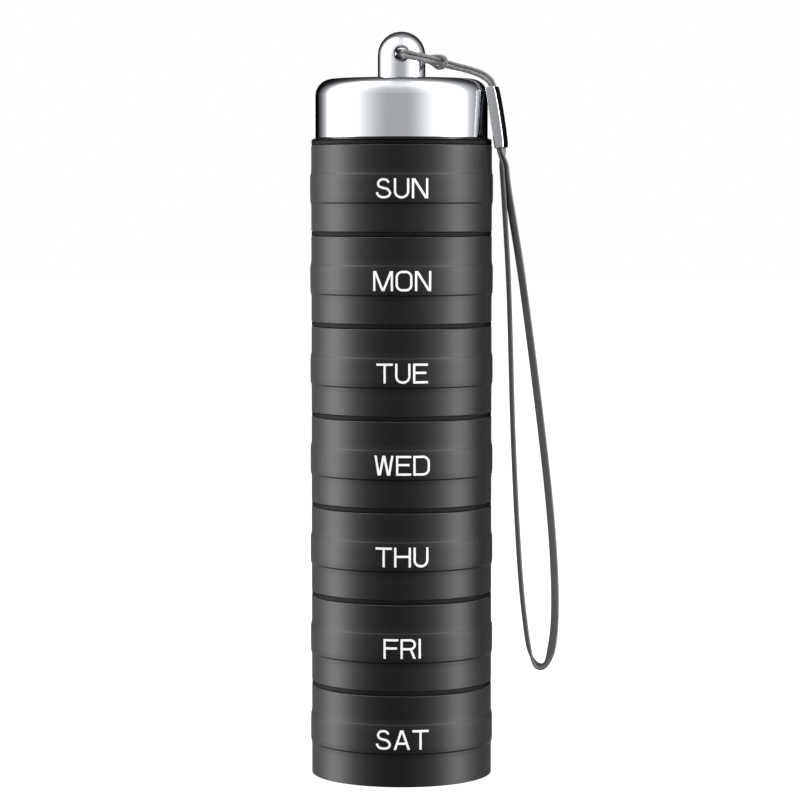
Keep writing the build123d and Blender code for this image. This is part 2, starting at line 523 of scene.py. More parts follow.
def curve_points(name, route, resolution):
    """The points of a smooth NURBS line through a route's control points."""
    curve = bpy.data.curves.new(name, "CURVE")
    curve.dimensions = "3D"
    curve.resolution_u = resolution
    spline = curve.splines.new("NURBS")
    spline.points.add(len(route) - 1)
    for point, place in zip(spline.points, route, strict=True):
        point.co = (*place, 1)
    spline.order_u = 3
    spline.use_endpoint_u = True
    line = placed(name, curve)
    mesh = made_mesh(line)
    points = [v.co.copy() for v in mesh.vertices]
    bpy.data.meshes.remove(mesh)
    bpy.data.objects.remove(line)
    return points


def strap_route():
    """The strap's control points: (outwards, height) in the clip's upright plane, down and up again."""
    top_out = cap_r + clip_top_out
    top_z = cap_top - clip_top_drop
    half = strap_thick / 2 + seat_gap

    def in_clip(down, side):
        out = top_out + down * math.sin(clip_lean) + side * half * math.cos(clip_lean)
        return (out, top_z - down * math.cos(clip_lean) + side * half * math.sin(clip_lean))

    hanging = [
        (0.01812, 0.1026), (0.01849, 0.0965), (0.01903, 0.08805), (0.01943, 0.0761), (0.01980, 0.0622),
        (0.02049, 0.0472), (0.02130, 0.0343), (0.02221, 0.0263), (0.02281, 0.02245), (0.02352, 0.0204),
        (0.02443, 0.01937), (0.02554, 0.01944), (0.02634, 0.0207), (0.02707, 0.0236), (0.02747, 0.0282),
        (0.02735, 0.0364), (0.02644, 0.0483), (0.02468, 0.0632), (0.02286, 0.0771), (0.02120, 0.08905),
        (0.01978, 0.0975), (0.01877, 0.1032),
    ]
    inner_end = clip_length - strap_in_clip
    leaves = clip_length + strap_straight
    route = [in_clip(inner_end, -1), in_clip(leaves, -1)] + hanging
    route += [in_clip(leaves, 1), in_clip(inner_end, 1)]
    outwards = Vector((math.cos(clip_azimuth), math.sin(clip_azimuth), 0))
    return [outwards * out + Vector((0, 0, z)) for out, z in route]


def cord_route():
    """The cord's control points: clip, knot, eye, round the knot as its bight, eye, knot, clip."""

    def cord_end(side):
        inner, outer = cord_apart
        places = [
            (side * inner[0], side * (inner[1] + cord_splay), -cord_in_clip),
            (side * inner[0], side * inner[1], -cord_in_clip / 2),
            (side * inner[0] + cord_shift / 2, side * inner[1], -cord_straight / 2),
            (side * outer[0] + cord_shift, side * outer[1], cord_straight),
        ]
        return [tuple(clip_place() @ Vector(place)) for place in places]

    front = [
        (0.01500, -0.00275, 0.1224), (0.01375, -0.0024, 0.1231), (0.0117, -0.0019, 0.1238),
        (0.0093, -0.0015, 0.1244), (0.0073, -0.0013, 0.1250), (0.0052, -0.0019, 0.12553),
        (0.0040, -0.0027, 0.12585), (0.0026, -0.0039, 0.12614), (0.0013, -0.0047, 0.12645),
        (0.00055, -0.0045, 0.1266), (0.0001, -0.0036, 0.1266),
    ]
    bight = [
        (-0.0006, -0.0018, 0.12665), (-0.00074, 0.0002, 0.12666), (-0.00066, 0.0022, 0.1268),
        (-0.0004, 0.0040, 0.12696), (0.0002, 0.00495, 0.12698), (0.0012, 0.0051, 0.12675),
        (0.0026, 0.0040, 0.12625), (0.0045, 0.0020, 0.1258), (0.0057, 0.0004, 0.12582),
        (0.0066, -0.0010, 0.12585), (0.00745, -0.00195, 0.1256), (0.00785, -0.00235, 0.12495),
        (0.0076, -0.0022, 0.12412), (0.00685, -0.00165, 0.12372), (0.0061, -0.0009, 0.12385),
        (0.0054, -0.0001, 0.1246), (0.0043, 0.0017, 0.1251), (0.0026, 0.0039, 0.1253),
        (0.0012, 0.0050, 0.1255), (0.0002, 0.0049, 0.12557), (-0.0004, 0.0039, 0.12564),
        (-0.00066, 0.0022, 0.1258), (-0.00074, 0.0002, 0.12594), (-0.0006, -0.0018, 0.12595),
    ]
    back = [
        (0.0001, -0.0036, 0.12592), (0.0005, -0.0045, 0.12585), (0.0012, -0.0047, 0.1256),
        (0.0026, -0.00385, 0.12538), (0.0046, -0.0023, 0.12498), (0.0063, -0.00155, 0.12462),
        (0.0076, -0.00145, 0.12408), (0.0093, -0.0018, 0.12372), (0.0115, -0.0023, 0.12317),
        (0.0134, -0.0027, 0.12249), (0.0145, -0.0030, 0.12185),
    ]
    return cord_end(1) + front + bight + back + cord_end(-1)[::-1]


def lengths_along(points):
    """The distance of each point along a line, from its start."""
    run = [0.0]
    for before, here in zip(points, points[1:], strict=False):
        run.append(run[-1] + (here - before).length)
    return run


def tangents(points):
    """The direction of a line at each of its points."""
    pairs = zip(points[:1] + points, points[1:] + points[-1:], strict=False)
    return [(after - before).normalized() for before, after in pairs]


def carried_sides(points):
    """Two directions square to a line at each of its points, carried along it without needless turning."""
    ways = tangents(points)
    side = ways[0].orthogonal()
    pairs = []
    for way in ways:
        side = (side - way * side.dot(way)).normalized()
        pairs.append((side, way.cross(side)))
    return pairs


def lay_uv(obj, places):
    """Gives each face corner its vertex's (round, along) place, in millimetres."""
    layer = obj.data.uv_layers.new(name="lay")
    for loop in obj.data.loops:
        layer.data[loop.index].uv = places[loop.vertex_index]


def twisted_cord(points):
    """The hitch cord: three plies laid round each other along the cord's line."""
    run = lengths_along(points)
    sides = carried_sides(points)
    ply_r = ply_share * cord_d / 2
    centre_r = cord_d / 2 - ply_r
    plies, places = [], []
    for ply in range(cord_plies):
        rings = []
        for place, along, (side, other) in zip(points, run, sides, strict=True):
            angle = 2 * math.pi * (ply / cord_plies + along / cord_lay_length)
            out = side * math.cos(angle) + other * math.sin(angle)
            across = other * math.cos(angle) - side * math.sin(angle)
            ring = []
            for k in range(ply_sides):
                turn = 2 * math.pi * k / ply_sides
                away = out * (centre_r + ply_r * math.cos(turn)) + across * ply_r * math.sin(turn)
                ring.append(place + away)
                places.append((k / ply_sides + ply, along / MM))
            rings.append(ring)
        plies.append(rings)
    cord = swept_mesh("twisted_cord", plies)
    lay_uv(cord, places)
    return cord


def ease(value):
    """A soft step from 0 to 1."""
    value = min(1.0, max(0.0, value))
    return value * value * (3 - 2 * value)


def woven_strap(points):
    """The ribbon loop: a thin band with firmer edges, turned over at its lowest point."""
    run = lengths_along(points)
    plane_side = Vector((-math.sin(clip_azimuth), math.cos(clip_azimuth), 0))
    half_t = strap_thick / 2
    round_at = strap_width / 2 - half_t
    outline = []
    for k in range(corner_steps + 1):
        angle = math.pi * k / corner_steps - math.pi / 2
        outline.append((round_at + half_t * math.cos(angle), half_t * math.sin(angle)))
    web, web_at = half_t * strap_web, round_at - strap_edge
    outline += [(web_at, web), (0, web), (-web_at, web)]
    section = outline + [(-w, -t) for w, t in outline]
    rings, places = [], []
    lowest = min(zip(points, run, strict=True), key=lambda pair: pair[0].z)[1]
    for place, along, way in zip(points, run, tangents(points), strict=True):
        upright = plane_side.cross(way)
        free = min(along, run[-1] - along) - strap_in_clip
        turned_over = ease(0.5 + (along - lowest) / strap_turn)
        roll = (inner_roll + (outer_roll - inner_roll) * turned_over) * ease(free / strap_twist)
        across = plane_side * math.cos(roll) + upright * math.sin(roll)
        normal = upright * math.cos(roll) - plane_side * math.sin(roll)
        rings.append([place + across * w + normal * t for w, t in section])
        places += [(w / MM, along / MM) for w, _ in section]
    strap = swept_mesh("woven_strap", [rings])
    lay_uv(strap, places)
    return strap


def arc(cx, cy, radius, start, end, steps=12):
    """Points of a circular arc, angles in degrees, anticlockwise if end is larger."""
    points = []
    for k in range(steps + 1):
        angle = math.radians(start + (end - start) * k / steps)
        points.append((cx + radius * math.cos(angle), cy + radius * math.sin(angle)))
    return points


def smooth_line(places, steps=5):
    """A smooth line through places, with its own direction at each."""
    points = [Vector(p) for p in places]
    points = [2 * points[0] - points[1]] + points + [2 * points[-1] - points[-2]]
    line = []
    for a, b, c, d in zip(points, points[1:], points[2:], points[3:], strict=False):
        for k in range(steps):
            t = k / steps
            bend = (3 * b - a - 3 * c + d) * t**3 + (2 * a - 5 * b + 4 * c - d) * t**2 + (c - a) * t
            line.append(tuple(b + bend / 2))
    return line + [tuple(points[-2])]


def letters():
    """Plain letters: (width, strokes) in millimetres. A list is a pen's line, a tuple a slanted bar."""
    h = (mark_height - mark_stroke) / MM
    low, high = -mark_stroke / 2 / MM, h + mark_stroke / 2 / MM
    bends = [(1.9, 2.42), (1.58, 2.82), (1.04, 2.96), (0.46, 2.8), (0.13, 2.28), (0.36, 1.78), (1.0, 1.53)]
    bends += [(1.68, 1.34), (2.11, 0.72), (1.82, 0.17), (1.08, -0.01), (0.4, 0.12), (0.05, 0.5)]
    bends += [(-0.08, 0.8)]
    top, end, turn = h + 0.05, -0.05, 0.9
    ring = arc(2.37 - turn, top - turn, turn, 0, 90, 8) + arc(turn, top - turn, turn, 90, 180, 8)
    ring += arc(turn, end + turn, turn, 180, 270, 8) + arc(2.37 - turn, end + turn, turn, 270, 360, 8)
    bowl_d = arc(1.4, h - 0.99, 0.99, 90, 0) + arc(1.4, 0.99, 0.99, 0, -90)
    bowl_r = arc(1.39, h - 0.765, 0.765, 90, -90, 16)
    w_down = [((0, high), (0.55, low)), ((1.44, high), (2.12, low))]
    w_up = [((0.7, low), (1.36, high)), ((2.26, low), (2.81, high))]

    def stem(x):
        return [(x, low), (x, high)]

    return {
        "S": (2.13, [smooth_line([(x, y * h / 2.95) for x, y in bends])]),
        "U": (2.12, [[(0, high)] + arc(1.06, 1.03, 1.06, 180, 360, 20) + [(2.12, high)]]),
        "N": (2.34, [stem(0), ((0.12, high), (2.22, low)), stem(2.34)]),
        "M": (2.96, [stem(0), stem(2.96), ((0.12, high), (1.44, low)), ((1.52, low), (2.84, high))]),
        "O": (2.37, [ring + ring[:1]]),
        "T": (2.24, [[(-0.24, h), (2.48, h)], [(1.12, h), (1.12, low)]]),
        "E": (2.03, [[(2.28, h), (0, h), (0, 0), (2.28, 0)], [(0, 1.63), (2.0, 1.63)]]),
        "W": (2.81, [w_down[0], w_up[0], w_down[1], w_up[1]]),
        "D": (2.39, [[(0, h)] + bowl_d + [(0, 0)], stem(0)]),
        "H": (2.38, [stem(0), stem(2.38), [(0, 1.63), (2.38, 1.63)]]),
        "F": (2.0, [[(2.25, h), (0, h), (0, low)], [(0, 1.6), (2.03, 1.6)]]),
        "R": (2.18, [stem(0), [(0, h)] + bowl_r + [(0, h - 1.53)], ((1.46, 1.54), (2.12, low))]),
        "I": (0.0, [stem(0)]),
        "A": (2.34, [((0.02, low), (1.12, high)), ((1.22, high), (2.32, low)), [(0.36, 0.89), (1.98, 0.89)]]),
    }


def pen_outline(stroke, wider):
    """A widened stroke's two sides, as (left, right) points: mitred corners, or level ends for a bar."""
    half = mark_stroke / 2
    points = [Vector((wider * across, up)) * MM for across, up in stroke]
    if isinstance(stroke, tuple):
        run = points[1] - points[0]
        sideways = Vector((half * bar_widen * run.length / run.y, 0))
        return [(p - sideways, p + sideways) for p in points]
    ways = [(after - before).normalized() for before, after in zip(points, points[1:], strict=False)]
    ring = (points[0] - points[-1]).length < tiny
    comes = [ways[-1 if ring else 0]] + ways
    goes = ways + [ways[0 if ring else -1]]
    pairs = []
    for here, come, go in zip(points, comes, goes, strict=True):
        left = Vector((-come.y - go.y, come.x + go.x)).normalized()
        reach = half / max(mark_mitre, left.dot(Vector((-come.y, come.x))))
        pairs.append((here + left * reach, here - left * reach))
    return pairs


def split_run(pairs, longest):
    """Adds pairs between far ones, so that the strip can bend round the cup."""
    fine = [pairs[0]]
    for (left_a, right_a), (left_b, right_b) in zip(pairs, pairs[1:], strict=False):
        steps = max(1, math.ceil((left_b - left_a).length / longest))
        for k in range(1, steps + 1):
            fine.append((left_a.lerp(left_b, k / steps), right_a.lerp(right_b, k / steps)))
    return fine


def day_mark(day, middle):
    """A day's three letters, printed on the front of the raised band as thin raised ink."""
    x = 0.0
    strokes = []
    for sign in day.upper():
        advance, lines = pen_letters[sign]
        wider = 1 + mark_widen / advance if advance else 1.0
        start = Vector((x + mark_stroke / 2, 0))
        for line in lines:
            strokes.append([(start + left, start + right) for left, right in pen_outline(line, wider)])
        x += wider * advance * MM + mark_stroke + mark_gap
    width = x - mark_gap
    inner = band_r - mark_sink
    strips = []
    for level, pairs in enumerate(strokes):
        proud = band_r + mark_proud + level % mark_layers * mark_layer
        rings = []
        for left, right in split_run(pairs, mark_piece):
            ring = []
            for spot, radius in ((left, proud), (right, proud), (right, inner), (left, inner)):
                angle = (spot.x - width / 2 + mark_shift) / band_r
                z = middle + spot.y - (mark_height - mark_stroke) / 2
                ring.append(Vector((radius * math.sin(angle), -radius * math.cos(angle), z)))
            rings.append(ring)
        strips.append(rings)
    mark = swept_mesh("day_mark_" + day, strips)
    mark.data.set_sharp_from_angle(angle=crease)
    return mark


def add(tree, kind, inputs=None, **settings):
    """Adds a node by its short name with its settings, and sets or links its inputs by name or number."""
    node = tree.nodes.new(kind if kind.startswith("GeometryNode") else "ShaderNode" + kind)
    for key, value in settings.items():
        setattr(node, key, value)
    for key, value in (inputs or {}).items():
        if isinstance(value, bpy.types.NodeSocket):
            tree.links.new(value, node.inputs[key])
        else:
            node.inputs[key].default_value = value
    return node


def put(tree, kind, inputs=None, **settings):
    """Adds a node and gives its first output."""
    return add(tree, kind, inputs, **settings).outputs[0]


def calc(tree, operation, *values):
    """The result of a Math node."""
    return put(tree, "Math", dict(enumerate(values)), operation=operation)


def ramp(tree, value, slope, start):
    """A value times a slope, plus a start."""
    return calc(tree, "MULTIPLY_ADD", value, slope, start)


def product(tree, value, *others):
    """Values multiplied in order."""
    for other in others:
        value = calc(tree, "MULTIPLY", value, other)
    return value


def bell(tree, off, spread):
    """A bell curve: 1 where off is 0, falling on both sides."""
    share = calc(tree, "DIVIDE", off, spread)
    return calc(tree, "EXPONENT", product(tree, share, share, -0.5))


def noise(tree, place, scale, detail, **inputs):
    """A noise value from 0 to 1 at a place."""
    inputs |= {"Vector": place, "Scale": scale, "Detail": detail}
    return put(tree, "TexNoise", inputs)


def object_place(tree):
    """The place on the piece, in its own metres."""
    return add(tree, "TexCoord").outputs["Object"]


def soft_step(tree, value, start, end):
    """0 at start and 1 at end, with soft ends."""
    inputs = {"Value": value, "From Min": start, "From Max": end}
    return add(tree, "MapRange", inputs, interpolation_type="SMOOTHSTEP").outputs["Result"]


def new_tree(name, kind, inputs, outputs):
    """A node group and its ends. Inputs are given by their default or their type, outputs by type."""
    tree = bpy.data.node_groups.new(name, kind)
    for label, value in inputs.items():
        sort = {float: "Float", int: "Int"}.get(type(value), value)
        socket = tree.interface.new_socket(name=label, in_out="INPUT", socket_type="NodeSocket" + sort)
        if sort != value:
            socket.default_value = value
    for label, sort in outputs.items():
        tree.interface.new_socket(name=label, in_out="OUTPUT", socket_type="NodeSocket" + sort)
    return tree, tree.nodes.new("NodeGroupInput").outputs, tree.nodes.new("NodeGroupOutput").inputs


def thread_tree():
    """Screw ridges on a wall about Z: a tapered-out helix with a ridge section, once for each start."""
    inputs = {"Geometry": "Geometry", "Material": "Material", "Root Radius": spigot_r, "Turns": thread_turns}
    inputs |= {"Ridge Height": thread_height, "Root Width": thread_root, "Crest Width": thread_crest}
    inputs |= {"Lead": thread_lead, "Starts": thread_starts}
    outputs = {"Geometry": "Geometry"}
    tree, given, result = new_tree("screw_thread", "GeometryNodeTree", inputs, outputs)
    root, turns = given["Root Radius"], given["Turns"]
    spiral = {"Resolution": thread_steps, "Rotations": turns, "Start Radius": root, "End Radius": root}
    spiral |= {"Height": product(tree, given["Lead"], turns)}
    helix = put(tree, "GeometryNodeCurveSpiral", spiral)
    upright = put(tree, "GeometryNodeSetCurveNormal", {"Curve": helix}, mode="Z_UP")
    share = add(tree, "GeometryNodeSplineParameter").outputs["Factor"]
    from_end = calc(tree, "MINIMUM", share, calc(tree, "SUBTRACT", 1.0, share))
    run_out = soft_step(tree, from_end, 0.0, thread_run_out)
    shape = {"Bottom Width": given["Root Width"], "Top Width": given["Crest Width"]}
    shape |= {"Height": given["Ridge Height"], "Offset": 0.0}
    section = put(tree, "GeometryNodeCurvePrimitiveQuadrilateral", shape, mode="TRAPEZOID")
    lift = put(tree, "CombineXYZ", {"Y": product(tree, given["Ridge Height"], 0.5)})
    seated = put(tree, "GeometryNodeTransform", {"Geometry": section, "Translation": lift})
    swept = {"Curve": upright, "Profile Curve": seated, "Scale": run_out, "Fill Caps": True}
    ridge = put(tree, "GeometryNodeCurveToMesh", swept)
    spots = put(tree, "GeometryNodePoints", {"Count": given["Starts"]})
    number = put(tree, "GeometryNodeInputIndex")
    turn = calc(tree, "DIVIDE", product(tree, number, 2 * math.pi), given["Starts"])
    angles = put(tree, "CombineXYZ", {"Z": turn})
    copies = {"Points": spots, "Instance": ridge, "Rotation": angles}
    repeated = put(tree, "GeometryNodeInstanceOnPoints", copies)
    plain = put(tree, "GeometryNodeRealizeInstances", {"Geometry": repeated})
    dressing = {"Geometry": plain, "Material": given["Material"]}
    tree.links.new(put(tree, "GeometryNodeSetMaterial", dressing), result["Geometry"])
    return tree


def grown(name, tree, sizes):
    """A mesh object made by a geometry tree with some of its sizes set by name."""
    obj = tidy_mesh(name, [], [])
    modifier = obj.modifiers.new("make", "NODES")
    modifier.node_group = tree
    for item in tree.interface.items_tree:
        if item.in_out == "INPUT" and item.name in sizes:
            modifier[item.identifier] = sizes[item.name]
    return baked(obj)


def thread_meshes(tree, finish):
    """The ridges of a spigot, and those of a mouth, half a pitch apart when the cup is screwed home."""
    outside = {"Root Radius": spigot_r - thread_sink, "Material": finish}
    spigot = grown("spigot_ridges", tree, outside)
    inside = {"Root Radius": mouth_r + thread_sink, "Ridge Height": -thread_height, "Material": finish}
    mouth = grown("mouth_ridges", tree, inside)
    pitch = thread_lead / thread_starts
    spigot.data.transform(Matrix.Translation((0, 0, spigot_thread_low)))
    mouth.data.transform(Matrix.Translation((0, 0, spigot_thread_low + seal_thick - pitch / 2)))
    for obj in (spigot, mouth):
        obj.data.set_sharp_from_angle(angle=crease)
    return spigot, mouth


def placed_copy(source, name, height):
    """A copy of a mesh object, moved up in its mesh."""
    mesh = source.data.copy()
    mesh.transform(Matrix.Translation((0, 0, height)))
    return placed(name, mesh)


def use_group(tree, group, inputs):
    """Places a shader group with its own values."""
    return add(tree, "Group", inputs, node_tree=group).outputs


def tool_marks_group():
    """Fine rings that turning leaves on a piece, about Z."""
    inputs = {"Rings per Metre": 9000.0, "Unevenness": 0.5}
    outputs = {"Height": "Float", "Sheen": "Float"}
    tree, given, result = new_tree("tool_marks", "ShaderNodeTree", inputs, outputs)
    place = object_place(tree)
    parts = add(tree, "SeparateXYZ", {0: place}).outputs
    flat = put(tree, "CombineXYZ", {"X": parts["X"], "Y": parts["Y"]})
    out = add(tree, "VectorMath", {0: flat}, operation="LENGTH").outputs["Value"]
    across = product(tree, calc(tree, "ADD", parts["Z"], out), given["Rings per Metre"])
    fine = put(tree, "TexNoise", {"W": across, "Detail": 2.0}, noise_dimensions="1D")
    strength = ramp(tree, noise(tree, place, 180.0, 2.0), given["Unevenness"], 0.5)
    tree.links.new(product(tree, fine, strength), result["Height"])
    tree.links.new(calc(tree, "SUBTRACT", fine, 0.5), result["Sheen"])
    return tree


def handling_group():
    """Soft patches that handling and dust leave: a mask from 0 to 1."""
    inputs = {"Patch Size": 0.012, "Contrast": 0.3}
    tree, given, result = new_tree("handling", "ShaderNodeTree", inputs, {"Mask": "Float"})
    scale = calc(tree, "DIVIDE", 1.0, given["Patch Size"])
    broad = noise(tree, object_place(tree), scale, 4.0, Roughness=0.6)
    low = calc(tree, "SUBTRACT", 0.5, given["Contrast"])
    high = calc(tree, "ADD", 0.5, given["Contrast"])
    mask = add(tree, "MapRange", {"Value": broad, "From Min": low, "From Max": high})
    tree.links.new(mask.outputs["Result"], result["Mask"])
    return tree


def edge_wear_highlight_group():
    """Where rounded outer edges are lighter, in rubbed specks and as a painted highlight along the edges: a
    mask from 0 to 1.
    """
    inputs = {"Amount": 0.5, "Speck Size": 0.0004}
    tree, given, result = new_tree("edge_wear_highlight", "ShaderNodeTree", inputs, {"Mask": "Float"})
    edge = add(tree, "Attribute", attribute_name="edge").outputs["Fac"]
    place = object_place(tree)
    specks = noise(tree, place, calc(tree, "DIVIDE", 1.0, given["Speck Size"]), 3.0)
    patches = noise(tree, place, 220.0, 2.0)
    torn = soft_step(tree, calc(tree, "ADD", specks, patches), 0.85, 1.2)
    # Small outer rounds broken into specks: rubbed wear and a painted highlight.
    tree.links.new(product(tree, edge, torn, given["Amount"]), result["Mask"])
    return tree


def grain_group():
    """A fine even grain: a height and a value from -0.5 to 0.5."""
    inputs = {"Grain Size": 0.0002, "Detail": 3.0}
    outputs = {"Height": "Float", "Value": "Float"}
    tree, given, result = new_tree("grain", "ShaderNodeTree", inputs, outputs)
    scale = calc(tree, "DIVIDE", 1.0, given["Grain Size"])
    height = noise(tree, object_place(tree), scale, given["Detail"])
    tree.links.new(height, result["Height"])
    tree.links.new(calc(tree, "SUBTRACT", height, 0.5), result["Value"])
    return tree


def weave_group():
    """Plain weave on the (across, along) places in millimetres: thread height, and a tone darker where the
    threads dip (painted shade between the threads) with random tone.
    """
    inputs = {"Warp Pitch": 0.24, "Weft Pitch": 0.3}
    outputs = {"Height": "Float", "Painted Shade and Tone": "Float"}
    tree, given, result = new_tree("weave", "ShaderNodeTree", inputs, outputs)
    place = put(tree, "UVMap", uv_map="lay")
    parts = add(tree, "SeparateXYZ", {0: place}).outputs
    across = calc(tree, "DIVIDE", parts["X"], given["Warp Pitch"])
    along = calc(tree, "DIVIDE", parts["Y"], given["Weft Pitch"])
    warp_round, weft_round = (
        calc(tree, "ABSOLUTE", calc(tree, "SINE", product(tree, value, math.pi))) for value in (across, along)
    )
    turn = calc(tree, "ADD", calc(tree, "FLOOR", across), calc(tree, "FLOOR", along))
    over = calc(tree, "PINGPONG", turn, 1.0)
    under = calc(tree, "SUBTRACT", 1.0, over)
    warp = product(tree, warp_round, ramp(tree, weft_round, 0.5, 0.5))
    weft = product(tree, weft_round, ramp(tree, warp_round, 0.5, 0.5))
    height = calc(tree, "ADD", product(tree, warp, over), product(tree, weft, under))
    # Lighter on the threads' crowns and darker where they dip: painted shade between the threads, plus random
    # tone from noise.
    tone_with_painted_shade = ramp(tree, noise(tree, place, 3.0, 5.0), 0.6, product(tree, height, 0.5))
    tree.links.new(height, result["Height"])
    tree.links.new(tone_with_painted_shade, result["Painted Shade and Tone"])
    return tree


def new_material(name, base, roughness, metallic=0.0, **constants):
    """A Principled material and its tree. Constants are set on the shader's own sockets."""
    material = bpy.data.materials.new(name)
    material.use_nodes = True
    material.diffuse_color = (*base, 1)
    tree = material.node_tree
    shader = tree.nodes["Principled BSDF"]
    constants |= {"base_color": (*base, 1), "roughness": roughness, "metallic": metallic}
    for key, value in constants.items():
        shader.inputs[key.replace("_", " ").title().replace("Ior", "IOR")].default_value = value
    return material, tree


def surfaced(material, colours, share, rough, height, strength, distance):
    """Gives a material two colours mixed by a share, a roughness and a bump, and returns it."""
    tree = material.node_tree
    first, second = ((*colour, 1) for colour in colours)
    mix = add(tree, "Mix", {"Factor": share, "A": first, "B": second}, data_type="RGBA")
    bump = put(tree, "Bump", {"Height": height, "Strength": strength, "Distance": distance})
    links = {"Base Color": mix.outputs["Result"], "Roughness": rough, "Normal": bump}
    for key, value in links.items():
        tree.links.new(value, tree.nodes["Principled BSDF"].inputs[key])
    return material


def black_anodised():
    """Satin black anodised aluminium, turned, with its small outer rounds a little grey: rubbed wear and a
    painted highlight.
    """
    colours = ((0.0025, 0.0025, 0.0026), (0.03, 0.03, 0.031))
    sheen = {"sheen_weight": 0.24, "sheen_roughness": 0.35}
    material, tree = new_material("black_anodised", colours[0], 0.44, ior=1.42, **sheen)
    marks = use_group(tree, tool_marks, {"Rings per Metre": 9000.0, "Unevenness": 0.6})
    hands = use_group(tree, handling, {"Patch Size": 0.012, "Contrast": 0.3})
    # worn: lighter grey on the small outer rounds, which is rubbed wear and a painted highlight.
    worn = use_group(tree, edge_wear_highlight, {"Amount": 0.55, "Speck Size": 0.0005})
    rough = ramp(tree, hands["Mask"], 0.015, 0.43)
    rough = ramp(tree, marks["Sheen"], 0.02, rough)
    return surfaced(material, colours, worn["Mask"], rough, marks["Height"], 0.08, 0.01 * MM)


def black_rubber():
    """Matt black silicone rubber."""
    colours = ((0.003, 0.003, 0.0031), (0.009, 0.009, 0.009))
    material, tree = new_material("black_rubber", colours[0], 0.5, specular_ior_level=0.1)
    grains = use_group(tree, grain, {"Grain Size": 0.0003, "Detail": 3.0})
    dust = use_group(tree, handling, {"Patch Size": 0.004, "Contrast": 0.35})
    rough = ramp(tree, dust["Mask"], 0.12, 0.5)
    share = product(tree, dust["Mask"], 0.4)
    return surfaced(material, colours, share, rough, grains["Height"], 0.3, 0.03 * MM)


def smooth_black():
    """Smooth black plastic of the cap's insert."""
    colours = ((0.002, 0.002, 0.0021), (0.01, 0.01, 0.011))
    material, tree = new_material("smooth_black", colours[0], 0.45, specular_ior_level=0.035)
    marks = use_group(tree, tool_marks, {"Rings per Metre": 5000.0, "Unevenness": 0.4})
    hands = use_group(tree, handling, {"Patch Size": 0.008, "Contrast": 0.3})
    # worn: lighter on the small outer rounds, which is rubbed wear and a painted highlight.
    worn = use_group(tree, edge_wear_highlight, {"Amount": 0.4, "Speck Size": 0.0006})
    rough = ramp(tree, hands["Mask"], 0.08, 0.42)
    return surfaced(material, colours, worn["Mask"], rough, marks["Height"], 0.2, 0.01 * MM)


def bright_plate():
    """Bright polished plating, with the faintest turning rings and handling marks."""
    colours = ((0.79, 0.81, 0.85), (0.71, 0.73, 0.77))
    material, tree = new_material("bright_plate", colours[0], 0.05, metallic=1.0)
    marks = use_group(tree, tool_marks, {"Rings per Metre": 16000.0, "Unevenness": 0.4})
    hands = use_group(tree, handling, {"Patch Size": 0.009, "Contrast": 0.25})
    rough = ramp(tree, hands["Mask"], 0.02, 0.035)
    share = product(tree, hands["Mask"], 0.25)
    return surfaced(material, colours, share, rough, marks["Height"], 0.1, 0.002 * MM)


def plated_sheet():
    """The clip's plated sheet: bright, a little duller and grainier than the cap."""
    colours = ((0.65, 0.66, 0.69), (0.56, 0.57, 0.6))
    material, tree = new_material("plated_sheet", colours[0], 0.14, metallic=1.0)
    grains = use_group(tree, grain, {"Grain Size": 0.00025, "Detail": 4.0})
    hands = use_group(tree, handling, {"Patch Size": 0.003, "Contrast": 0.25})
    rough = ramp(tree, grains["Value"], 0.1, 0.14)
    share = product(tree, hands["Mask"], 0.35)
    return surfaced(material, colours, share, rough, grains["Height"], 0.12, 0.01 * MM)


def grey_cord():
    """Dark grey twisted cord: fibres run along each ply."""
    colours = ((0.095, 0.095, 0.095), (0.145, 0.145, 0.145))
    material, tree = new_material("grey_cord", colours[0], 0.65, sheen_weight=0.25, sheen_roughness=0.5)
    place = put(tree, "UVMap", uv_map="lay")
    stretched = put(tree, "Mapping", {"Vector": place, "Scale": (14.0, 2.2, 1.0)})
    fibre = noise(tree, stretched, 1.0, 4.0)
    lint = use_group(tree, grain, {"Grain Size": 0.0004, "Detail": 4.0})
    rough = ramp(tree, fibre, 0.3, 0.5)
    share = soft_step(tree, calc(tree, "ADD", fibre, lint["Value"]), 0.3, 0.7)
    return surfaced(material, colours, share, rough, fibre, 0.25, 0.02 * MM)


def grey_ribbon():
    """Dark grey woven ribbon."""
    colours = ((0.075, 0.075, 0.077), (0.19, 0.19, 0.192))
    material, tree = new_material("grey_ribbon", colours[0], 0.7, sheen_weight=0.3, sheen_roughness=0.45)
    threads = use_group(tree, weave, {"Warp Pitch": 0.24, "Weft Pitch": 0.3})
    worn = use_group(tree, handling, {"Patch Size": 0.01, "Contrast": 0.3})
    rough = ramp(tree, threads["Painted Shade and Tone"], -0.2, 0.8)
    # The colour mix follows painted shade between the threads with random tone, plus dust patches.
    share = ramp(tree, worn["Mask"], 0.15, product(tree, threads["Painted Shade and Tone"], 0.9))
    return surfaced(material, colours, share, rough, threads["Height"], 0.7, 0.05 * MM)


def white_ink():
    """The day marks' matt white ink."""
    colours = ((0.95, 0.95, 0.95), (0.85, 0.85, 0.85))
    material, tree = new_material("white_ink", colours[0], 0.5)
    grains = use_group(tree, grain, {"Grain Size": 0.00015, "Detail": 3.0})
    rough = ramp(tree, grains["Value"], 0.1, 0.5)
    share = soft_step(tree, grains["Height"], 0.45, 0.9)
    return surfaced(material, colours, share, rough, grains["Height"], 0.15, 0.01 * MM)


def dressed(obj, body, slot, material, *nodes):
    """Gives a piece its material and body, and hides the CAD nodes it stands for. The slot is not used."""
    obj.data.materials.clear()
    obj.data.materials.append(material)
    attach(obj, body)
    if nodes:
        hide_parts(*nodes)
    return obj


